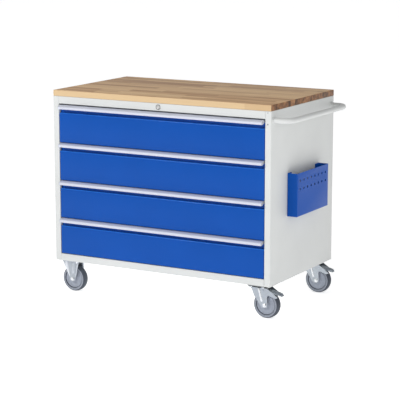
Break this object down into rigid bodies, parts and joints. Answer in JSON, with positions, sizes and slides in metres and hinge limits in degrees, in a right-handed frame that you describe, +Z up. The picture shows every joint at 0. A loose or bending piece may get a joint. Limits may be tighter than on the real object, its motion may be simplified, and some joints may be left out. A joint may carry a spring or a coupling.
{
  "type": "mobile workbench with drawers",
  "caption": "Mobile steel workbench with a beech top, full-width drawers with aluminium grip strips, a push handle, a side tool pocket, fixed casters and braked swivel casters.",
  "frame": {"origin": "centre of the whole object's footprint, on the floor under the wheels", "axes": "+X to the right along the length, towards the push handle; +Y to the back, the drawers open towards -Y; +Z up"},
  "size_m": [1.235, 0.6694, 0.97],
  "materials": {
    "beech": "oiled solid beech, glued lengthwise staves",
    "grey_paint": "light grey powder coat, fine texture",
    "blue_paint": "blue powder coat, fine texture",
    "grip_aluminium": "anodised, drawn lengthwise",
    "zinc_steel": "bright zinc plating",
    "lock_metal": "satin nickel",
    "bolt_steel": "zinc plated",
    "tread_rubber": "grey thermoplastic rubber, matt",
    "rim_plastic": "moulded grey polypropylene"
  },
  "bodies": {
    "cabinet": {"worktop": "beech", "side_panel_left": "grey_paint", "side_panel_right": "grey_paint", "back_panel": "grey_paint", "base_panel": "grey_paint", "front_top_rail": "grey_paint", "push_handle": "grey_paint", "tool_pocket": "blue_paint", "lock_housing": "lock_metal", "cabinet_rail_1_left": "zinc_steel", "cabinet_rail_1_right": "zinc_steel", "cabinet_rail_2_left": "zinc_steel", "cabinet_rail_2_right": "zinc_steel", "cabinet_rail_3_left": "zinc_steel", "cabinet_rail_3_right": "zinc_steel", "cabinet_rail_4_left": "zinc_steel", "cabinet_rail_4_right": "zinc_steel", "caster_bracket_front_left": "zinc_steel", "axle_front_left": "bolt_steel", "caster_bracket_rear_left": "zinc_steel", "axle_rear_left": "bolt_steel", "caster_plate_front_right": "zinc_steel", "caster_plate_rear_right": "zinc_steel"},
    "lock_plug": {"lock_plug": "lock_metal"},
    "lock_bar": {"lock_bar": "zinc_steel"},
    "drawer_1": {"drawer_1_pan": "grey_paint", "drawer_1_front": "blue_paint", "drawer_1_grip": "grip_aluminium"},
    "drawer_2": {"drawer_2_pan": "grey_paint", "drawer_2_front": "blue_paint", "drawer_2_grip": "grip_aluminium"},
    "drawer_3": {"drawer_3_pan": "grey_paint", "drawer_3_front": "blue_paint", "drawer_3_grip": "grip_aluminium"},
    "drawer_4": {"drawer_4_pan": "grey_paint", "drawer_4_front": "blue_paint", "drawer_4_grip": "grip_aluminium"},
    "middle_rails_1": {"middle_rail_1_left": "zinc_steel", "middle_rail_1_right": "zinc_steel"},
    "middle_rails_2": {"middle_rail_2_left": "zinc_steel", "middle_rail_2_right": "zinc_steel"},
    "middle_rails_3": {"middle_rail_3_left": "zinc_steel", "middle_rail_3_right": "zinc_steel"},
    "middle_rails_4": {"middle_rail_4_left": "zinc_steel", "middle_rail_4_right": "zinc_steel"},
    "fork_front_right": {"caster_fork_front_right": "zinc_steel", "axle_front_right": "bolt_steel"},
    "pedal_front_right": {"brake_pedal_front_right": "zinc_steel"},
    "fork_rear_right": {"caster_fork_rear_right": "zinc_steel", "axle_rear_right": "bolt_steel"},
    "pedal_rear_right": {"brake_pedal_rear_right": "zinc_steel"},
    "wheel_front_left": {"tyre_front_left": "tread_rubber", "rim_front_left": "rim_plastic"},
    "wheel_front_right": {"tyre_front_right": "tread_rubber", "rim_front_right": "rim_plastic"},
    "wheel_rear_left": {"tyre_rear_left": "tread_rubber", "rim_rear_left": "rim_plastic"},
    "wheel_rear_right": {"tyre_rear_right": "tread_rubber", "rim_rear_right": "rim_plastic"}
  },
  "joints": [
    {"name": "drawer_1_slide", "type": "slide", "parent": "cabinet", "child": "drawer_1", "axis": [0, -1, 0], "range_m": [0, 0.55]},
    {"name": "drawer_2_slide", "type": "slide", "parent": "cabinet", "child": "drawer_2", "axis": [0, -1, 0], "range_m": [0, 0.55]},
    {"name": "drawer_3_slide", "type": "slide", "parent": "cabinet", "child": "drawer_3", "axis": [0, -1, 0], "range_m": [0, 0.55]},
    {"name": "drawer_4_slide", "type": "slide", "parent": "cabinet", "child": "drawer_4", "axis": [0, -1, 0], "range_m": [0, 0.55]},
    {"name": "middle_rails_1_slide", "type": "slide", "parent": "cabinet", "child": "middle_rails_1", "axis": [0, -1, 0], "range_m": [0, 0.275]},
    {"name": "middle_rails_2_slide", "type": "slide", "parent": "cabinet", "child": "middle_rails_2", "axis": [0, -1, 0], "range_m": [0, 0.275]},
    {"name": "middle_rails_3_slide", "type": "slide", "parent": "cabinet", "child": "middle_rails_3", "axis": [0, -1, 0], "range_m": [0, 0.275]},
    {"name": "middle_rails_4_slide", "type": "slide", "parent": "cabinet", "child": "middle_rails_4", "axis": [0, -1, 0], "range_m": [0, 0.275]},
    {"name": "lock_turn", "type": "hinge", "parent": "cabinet", "child": "lock_plug", "pos_m": [-0.045, -0.31825, 0.9245], "axis": [0, -1, 0], "range_deg": [0, 90]},
    {"name": "lock_bar_slide", "type": "slide", "parent": "cabinet", "child": "lock_bar", "axis": [-1, 0, 0], "range_m": [0, 0.012]},
    {"name": "wheel_front_left_spin", "type": "hinge", "parent": "cabinet", "child": "wheel_front_left", "pos_m": [-0.5435, -0.26025, 0.0625], "axis": [0, 1, 0], "continuous": true},
    {"name": "swivel_front_right", "type": "hinge", "parent": "cabinet", "child": "fork_front_right", "pos_m": [0.4535, -0.26025, 0.14], "axis": [0, 0, 1], "continuous": true},
    {"name": "wheel_front_right_spin", "type": "hinge", "parent": "fork_front_right", "child": "wheel_front_right", "pos_m": [0.4875, -0.26025, 0.0625], "axis": [0, 1, 0], "continuous": true},
    {"name": "brake_front_right", "type": "hinge", "parent": "fork_front_right", "child": "pedal_front_right", "pos_m": [0.4795, -0.26025, 0.132], "axis": [0, 1, 0], "range_deg": [0, 8]},
    {"name": "wheel_rear_left_spin", "type": "hinge", "parent": "cabinet", "child": "wheel_rear_left", "pos_m": [-0.5435, 0.27975, 0.0625], "axis": [0, 1, 0], "continuous": true},
    {"name": "swivel_rear_right", "type": "hinge", "parent": "cabinet", "child": "fork_rear_right", "pos_m": [0.4535, 0.27975, 0.14], "axis": [0, 0, 1], "continuous": true},
    {"name": "wheel_rear_right_spin", "type": "hinge", "parent": "fork_rear_right", "child": "wheel_rear_right", "pos_m": [0.4875, 0.27975, 0.0625], "axis": [0, 1, 0], "continuous": true},
    {"name": "brake_rear_right", "type": "hinge", "parent": "fork_rear_right", "child": "pedal_rear_right", "pos_m": [0.4795, 0.27975, 0.132], "axis": [0, 1, 0], "range_deg": [0, 8]}
  ],
  "couplings": [
    {"joint": "middle_rails_1_slide", "follows": "drawer_1_slide", "ratio": 0.5},
    {"joint": "middle_rails_2_slide", "follows": "drawer_2_slide", "ratio": 0.5},
    {"joint": "middle_rails_3_slide", "follows": "drawer_3_slide", "ratio": 0.5},
    {"joint": "middle_rails_4_slide", "follows": "drawer_4_slide", "ratio": 0.5},
    {"joint": "lock_turn", "follows": "lock_bar_slide", "rad_per_m": 130.9}
  ]
}
